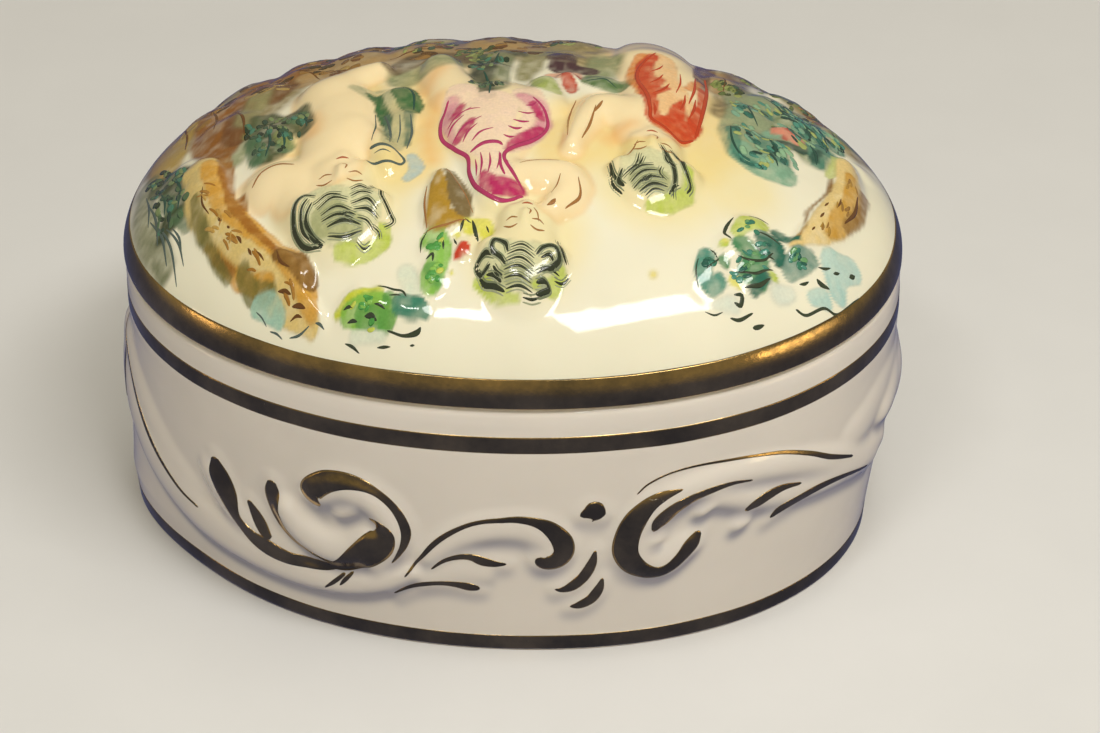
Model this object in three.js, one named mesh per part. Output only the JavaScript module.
// Oval porcelain trinket box with a lift-off domed lid. Millimetres, +Z up.
// The origin is the centre of the rim's oval, on the surface the box stands on. +X is the long axis.
//
// The box is two slip-cast, glazed porcelain pieces:
//   base  an oval bowl with a foot ring, leaf scrolls in relief on its wall, and a flat rim
//   lid   a low dome with three figures in relief, and a locating flange that drops into the base

import * as THREE from "three";

// Driving dimensions.
const LENGTH = 105; // outside, along X
const WIDTH = 78.4; // outside, along Y
const SQUARENESS = 2.09; // exponent of the oval: 2 is an ellipse, more is squarer
const SEGMENTS = 112; // facets round the oval, a multiple of four

const FOOT_INSET = 3.3; // how far the foot stands in from the widest oval
const FOOT_WIDTH = 2.6;
const FOOT_RECESS = 1.6; // the unglazed foot ring lifts the floor by this much
const FLOOR_TOP = 4; // top of the base's floor
const WALL = 3.4; // thickness of the base's wall
const SHOULDER_Z = 34.5; // height where the tapering wall turns upright
const RIM_Z = 41.6; // top of the base
const SEAT_GAP = 0.3; // between the rim and the lid that rests on it
const SWELL = 4.5; // how far the left end swells out at the foot, under its leaf
const SWELL_REACH = 16.5; // how far round the wall the swell runs

const LID_BAND = 2.3; // height of the lid's upright edge
const DOME_INSET = 0.26; // where the dome springs from
const DOME_RISE = 19; // from the top of the upright edge to the crown
const DOME_POWER = 2.31; // fullness of the dome's section
const DOME_ROOT = 1.74;
const LID_THICK = 3;
const FLANGE_DEPTH = 4;
const FLANGE_THICK = 2.2;
const FLANGE_CLEARANCE = 0.9; // between the flange and the inside of the wall

const LID_BOTTOM = RIM_Z + SEAT_GAP;
const DOME_SPRING_Z = LID_BOTTOM + LID_BAND - 0.4;

// Relief on the lid: height, then a chain of [x, y, radius] along the middle of each mass.
const LID_RELIEF = [
  // the left figure's head, arm, trunk and leg
  [2.5, [-20.2, -21.2, 5.8], [-20.4, -16.6, 4.6]],
  [1.9, [-29.3, -14.2, 4.6], [-25.5, -19, 3.4]],
  [2, [-22.5, -10.5, 4.8], [-22, -5, 5.2], [-24.5, 4.5, 4.8]],
  [1.8, [-25, 5, 4.2], [-18.8, 10.5, 2.6]],
  // the middle figure
  [2.4, [4, -28, 5.2], [4, -23.6, 4]],
  [1.8, [3.4, -14.6, 2.8], [8.4, -14.6, 3], [7.4, -20.2, 2.4]],
  [1.9, [0.4, -18, 3.6], [-1.4, -12, 4], [-2, -6, 6.2], [-1.6, 0, 6.8]],
  [1.7, [-7, 2, 4.2], [-10.6, 12.2, 2.8]],
  // the right figure
  [2.4, [19.9, -12.6, 5.4], [19.4, -8.2, 4.2]],
  [1.7, [16, 0.5, 4], [12.2, 1.6, 3], [8.9, -8.6, 2]],
  [1.8, [18.4, -3.5, 4.6], [20, 10, 5.6], [17.4, 25, 5], [17, 31, 4.4]],
  // basket, trees, bushes and stones
  [1.4, [-7.2, -15.6, 2], [-6, -22.6, 3.2]],
  [1.7, [-40.5, -7.5, 3.2], [-34, -20.5, 3.1], [-25.4, -30, 2.4], [-21.5, -33.4, 1.8]],
  [1.5, [44.5, 3.5, 2.2], [45, -3, 2.6], [40.6, -14, 2.2]],
  [0.9, [-16.8, -32.8, 2.8], [-9, -33.3, 2]],
  [1, [28, -24, 2.6], [32.6, -17.4, 3], [38, -18.8, 2.6]],
  [0.9, [-31.5, -1, 3.8], [-31, -8, 3]],
  [0.9, [-43, -5, 3.4], [-44, -13, 3]],
  [0.8, [-38, 2, 5], [-36, 11, 5], [-29, 18, 5], [-14, 22, 5], [-3, 24, 5], [6.4, 24, 4.4]],
  [1, [-15, 1.5, 3.6], [-14, -3, 2.8]],
  [0.9, [32, 7, 3.8], [32, -2, 3.6]],
  [1, [36.6, 2, 3.4], [38.6, 9, 4], [35, 16, 4]],
];

// Relief on the wall: height, then a chain of [distance round from the front's middle, z, radius].
const WALL_RELIEF = [
  [1.1, [-71, 27, 3.2], [-63, 22, 3.8], [-54, 15.6, 4.2], [-45, 11.6, 4], [-36, 9.9, 3.4], [-20, 9.6, 2.8]],
  [0.9, [-40, 21, 3], [-33.5, 14, 3.2], [-28, 12.6, 3]],
  [1.3, [-27.2, 20.4, 3], [-21.6, 15.6, 3.4], [-15.6, 18.4, 3.2]],
  [1.1, [-22.4, 25, 3], [-18.6, 26.6, 3], [-12.8, 22, 3], [-13, 16, 2.8]],
  [0.7, [-8, 17, 2.4], [1, 22.6, 2.8], [9, 19.4, 3.2]],
  [1, [26.6, 17.6, 3], [19.6, 17.4, 3.2], [20, 23, 3.2], [31, 28, 3], [47, 24, 3], [63, 18, 3]],
  [1.2, [62, 23.6, 3], [66.5, 23.6, 4.8], [71, 23, 5.4]],
];

// One oval ring of a piece: a parallel inset of the outside oval, at height z.
function ring(inset, z) {
  return { a: LENGTH / 2 - inset, b: WIDTH / 2 - inset, z };
}

// The same ring drawn in towards the centre, in proportion.
function scaled(from, share, z) {
  return { a: from.a * share, b: from.b * share, z };
}

// Corner i of an oval, counted from the right end.
function corner(i, a, b) {
  const angle = (2 * Math.PI * (i % SEGMENTS)) / SEGMENTS;
  const bend = (v) => Math.sign(v) * Math.abs(v) ** (2 / SQUARENESS);
  return [a * bend(Math.cos(angle)), b * bend(Math.sin(angle))];
}

// A closed solid through the rings, which start and end on the axis. A ring's own move, if it has
// one, takes a corner's number and place and gives its new place.
function ovalSolid(rings) {
  const geometry = new THREE.LatheGeometry(
    rings.map((r) => new THREE.Vector2(r.a, r.z)),
    SEGMENTS,
  );
  const position = geometry.getAttribute("position");
  for (let i = 0; i <= SEGMENTS; i++) {
    rings.forEach((r, j) => {
      const [x, y] = corner(i, r.a, r.b);
      const place = r.move ? r.move(i % SEGMENTS, x, y, r.z) : [x, y, r.z];
      position.setXYZ(i * rings.length + j, ...place);
    });
  }
  geometry.computeVertexNormals();
  return geometry;
}

// Height of the relief at a point: each mass is a rounded ridge along its chain.
function reliefAt(u, v, masses) {
  let sum = 0;
  for (const [height, ...chain] of masses) {
    let nearest = 1;
    chain.forEach(([au, av, ar], k) => {
      const [bu, bv, br] = chain[Math.min(k + 1, chain.length - 1)];
      const [du, dv] = [bu - au, bv - av];
      const along = ((u - au) * du + (v - av) * dv) / (du * du + dv * dv || 1);
      const t = Math.min(1, Math.max(0, along));
      const distance = Math.hypot(u - au - du * t, v - av - dv * t);
      nearest = Math.min(nearest, distance / (ar + (br - ar) * t));
    });
    sum += (height * (1 - nearest ** 2) ** 0.7) ** 3;
  }
  return Math.cbrt(sum);
}

// Distance from the middle of the front to corner i, + to the right. The back mirrors the front.
const QUARTER = SEGMENTS / 4;
const RUN = [0];
for (let k = 1; k <= QUARTER; k++) {
  const [x1, y1] = corner(3 * QUARTER + k - 1, LENGTH / 2 - 1, WIDTH / 2 - 1);
  const [x2, y2] = corner(3 * QUARTER + k, LENGTH / 2 - 1, WIDTH / 2 - 1);
  RUN.push(RUN[k - 1] + Math.hypot(x2 - x1, y2 - y1));
}
function distanceRound(i) {
  const fromFront = (i + QUARTER) % SEGMENTS;
  const side = fromFront <= 2 * QUARTER ? 1 : -1;
  const steps = side > 0 ? fromFront : SEGMENTS - fromFront;
  return side * RUN[steps <= QUARTER ? steps : 2 * QUARTER - steps];
}

// Moves a corner straight out from the oval.
function outward(x, y, by) {
  const slope = (v, half) => (Math.sign(v) * Math.abs(v / half) ** (SQUARENESS - 1)) / half;
  const nx = slope(x, LENGTH / 2);
  const ny = slope(y, WIDTH / 2);
  const length = Math.hypot(nx, ny);
  return [x + (by * nx) / length, y + (by * ny) / length];
}

function swell(i, z) {
  const from = (distanceRound(i) + RUN[QUARTER]) / SWELL_REACH;
  const share = THREE.MathUtils.clamp((SHOULDER_Z - 1 - z) / 28, 0, 1);
  return SWELL * share ** 1.25 * Math.exp(-from * from);
}

// A ring that swells with the wall; part is how much of the swell it takes.
function swelling(from, part = 1) {
  return {
    ...from,
    move: (i, x, y, z) => [...outward(x, y, part * swell(i, z)), z],
  };
}

// A ring on the outside of the wall, with the relief.
function leafy(z) {
  const insets = [3.1, 2.7, 2.35, 1.95, 1.58, 1.26, 0.98, 0.73, 0.5, 0.28, 0.1];
  const level = (z - 3) / 3;
  const k = Math.min(Math.floor(level), insets.length - 2);
  const inset = insets[k] + (insets[k + 1] - insets[k]) * (level - k);
  const fadeUp = THREE.MathUtils.clamp((SHOULDER_Z - z) / 2.2, 0, 1);
  const fade = fadeUp * THREE.MathUtils.clamp((z - 3.8) / 2, 0, 1);
  return {
    ...ring(inset, z),
    move: (i, x, y) => {
      const relief = fade * reliefAt(distanceRound(i), z, WALL_RELIEF);
      return [...outward(x, y, swell(i, z) + relief), z];
    },
  };
}

// Height of a dome over its springing, at share 0 (centre) to 1 (edge) of its half-axes.
function domeHeight(rise, share) {
  return rise * (1 - share ** DOME_POWER) ** (1 / DOME_ROOT);
}

// The dome's rings from its edge towards the crown, closer together where it is steep.
function domeRings(edge, springZ, rise, steps, power) {
  const rings = [];
  for (let k = 1; k < steps; k++) {
    const share = 1 - (k / steps) ** power;
    rings.push({ ...scaled(edge, share, springZ + domeHeight(rise, share)), share });
  }
  return rings;
}

function onLid(from) {
  const fade = THREE.MathUtils.clamp((0.96 - from.share) / 0.08, 0, 1);
  return {
    ...from,
    move: (i, x, y, z) => [x, y, z + fade * reliefAt(x, y, LID_RELIEF)],
  };
}

function baseGeometry() {
  const footIn = FOOT_INSET + FOOT_WIDTH;
  const floorEdge = ring(FOOT_INSET + WALL + 5, FLOOR_TOP);
  const inside = [
    ring(WALL + FOOT_INSET * 0.4, 20),
    ring(WALL + FOOT_INSET * 0.8, FLOOR_TOP + 4),
    ring(WALL + FOOT_INSET + 1.4, FLOOR_TOP + 1.2),
    floorEdge,
  ];
  const wallLevels = [3, 5, 7.5, 10, 12.5, 15, 17.5, 20, 22.5, 25, 27.5, 30, 32.3];
  return ovalSolid([
    { a: 0, b: 0, z: FOOT_RECESS },
    scaled(ring(footIn, 0), 0.55, FOOT_RECESS),
    swelling(ring(footIn + 0.8, FOOT_RECESS)),
    swelling(ring(footIn, 0)),
    swelling(ring(FOOT_INSET + 0.2, 0)),
    swelling(ring(FOOT_INSET, 0.4)),
    ...wallLevels.map(leafy),
    ring(0, SHOULDER_Z),
    ring(0.1, RIM_Z - 2),
    ring(0.3, RIM_Z - 0.7),
    ring(1, RIM_Z),
    ring(WALL, RIM_Z),
    ring(WALL + 0.3, RIM_Z - 0.6),
    ring(WALL + 0.4, SHOULDER_Z),
    ...inside.map((r) => swelling(r, 0.8)),
    scaled(floorEdge, 0.5, FLOOR_TOP),
    { a: 0, b: 0, z: FLOOR_TOP },
  ]);
}

function lidGeometry() {
  const flangeOut = WALL + 0.3 + FLANGE_CLEARANCE;
  const flangeIn = flangeOut + FLANGE_THICK;
  const domeEdge = ring(DOME_INSET, DOME_SPRING_Z);
  const innerEdge = ring(flangeIn, DOME_SPRING_Z);
  const crown = DOME_SPRING_Z + DOME_RISE;
  const innerRise = DOME_RISE - LID_THICK;
  return ovalSolid([
    { a: 0, b: 0, z: crown - LID_THICK },
    ...domeRings(innerEdge, DOME_SPRING_Z, innerRise, 12, 1.8).reverse(),
    ring(flangeIn, DOME_SPRING_Z - 1),
    ring(flangeIn, LID_BOTTOM - FLANGE_DEPTH),
    ring(flangeOut + 0.4, LID_BOTTOM - FLANGE_DEPTH),
    ring(flangeOut, LID_BOTTOM - FLANGE_DEPTH + 0.5),
    ring(flangeOut, LID_BOTTOM),
    ring(0.6, LID_BOTTOM),
    ring(0.1, LID_BOTTOM + 0.4),
    ring(0, LID_BOTTOM + 1),
    ring(0, DOME_SPRING_Z - 0.4),
    domeEdge,
    ...domeRings(domeEdge, DOME_SPRING_Z, DOME_RISE, 28, 1.35).map(onLid),
    { a: 0, b: 0, z: crown + reliefAt(0, 0, LID_RELIEF) },
  ]);
}

const porcelain = new THREE.MeshStandardMaterial({
  color: 0xe9e3d2,
  roughness: 0.12,
  metalness: 0,
});

function piece(name, geometry) {
  const mesh = new THREE.Mesh(geometry, porcelain.clone());
  mesh.name = name;
  return mesh;
}

const box = new THREE.Group();
box.add(piece("base", baseGeometry()));
box.add(piece("lid", lidGeometry()));

export default box;
